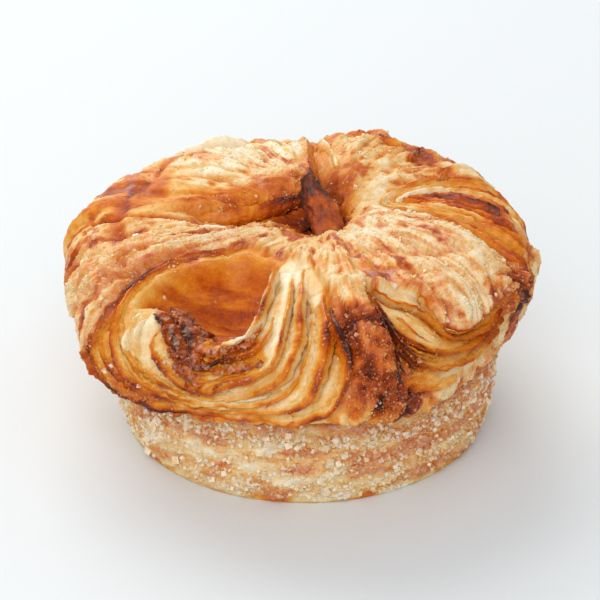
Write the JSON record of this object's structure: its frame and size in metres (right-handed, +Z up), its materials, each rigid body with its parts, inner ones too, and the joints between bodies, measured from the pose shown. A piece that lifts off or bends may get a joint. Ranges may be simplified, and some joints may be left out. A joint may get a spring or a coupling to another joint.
{
  "type": "kouign amann",
  "caption": "Round laminated butter pastry with a straight sugared drum below and a puffed crown of folded flaps above, whose layers open between them like fans of crisp browned leaves.",
  "frame": {"origin": "centre of the flat round underside, on the axis of the part baked in the ring", "axes": "+Z up through the drum and the crown, -Y towards the side with the largest open fan"},
  "size_m": [0.1007, 0.1001, 0.0494],
  "materials": {
    "crust": "crisp baked crust, glazed with caramelised sugar"
  },
  "bodies": {
    "root": {"kouign_amann": "crust"}
  },
  "joints": []
}
